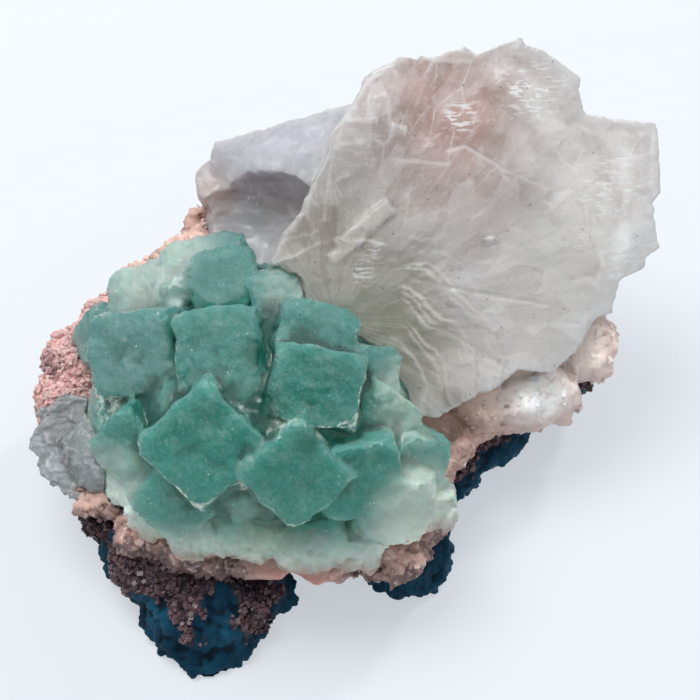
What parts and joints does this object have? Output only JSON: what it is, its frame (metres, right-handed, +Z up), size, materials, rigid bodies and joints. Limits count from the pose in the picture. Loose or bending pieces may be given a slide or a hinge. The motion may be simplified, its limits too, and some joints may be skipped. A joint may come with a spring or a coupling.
{
  "type": "apophyllite on heulandite mineral specimen",
  "caption": "Natural mineral specimen: a dome of blocky green apophyllite crystals beside a pale heulandite fan, on a pink crust and dark basalt with a flat sawn foot.",
  "frame": {"origin": "middle of the specimen's bounding box, at the height of the flat sawn foot that it rests on", "axes": "+Z up; +X from the apophyllite towards the fan's right edge; +Y from the front, which the fan and the apophyllite face, to the back"},
  "size_m": [0.1004, 0.0872, 0.0608],
  "materials": {
    "basalt": "rough dark rock with a mauve druse",
    "pink_heulandite": "granular, weakly glossy crystal crust",
    "pale_heulandite": "pearly, translucent crystal blades",
    "lilac_heulandite": "pearly, translucent crystal blade",
    "colourless_heulandite": "glassy, translucent crystal blades",
    "green_apophyllite": "glassy, translucent crystals with finely pitted faces"
  },
  "bodies": {
    "root": {"basalt_matrix": "basalt", "heulandite_crust": "pink_heulandite", "heulandite_sheaf": "pale_heulandite", "heulandite_rear_blade": "lilac_heulandite", "heulandite_side_sheaf": "colourless_heulandite", "apophyllite_cluster": "green_apophyllite"}
  },
  "joints": []
}
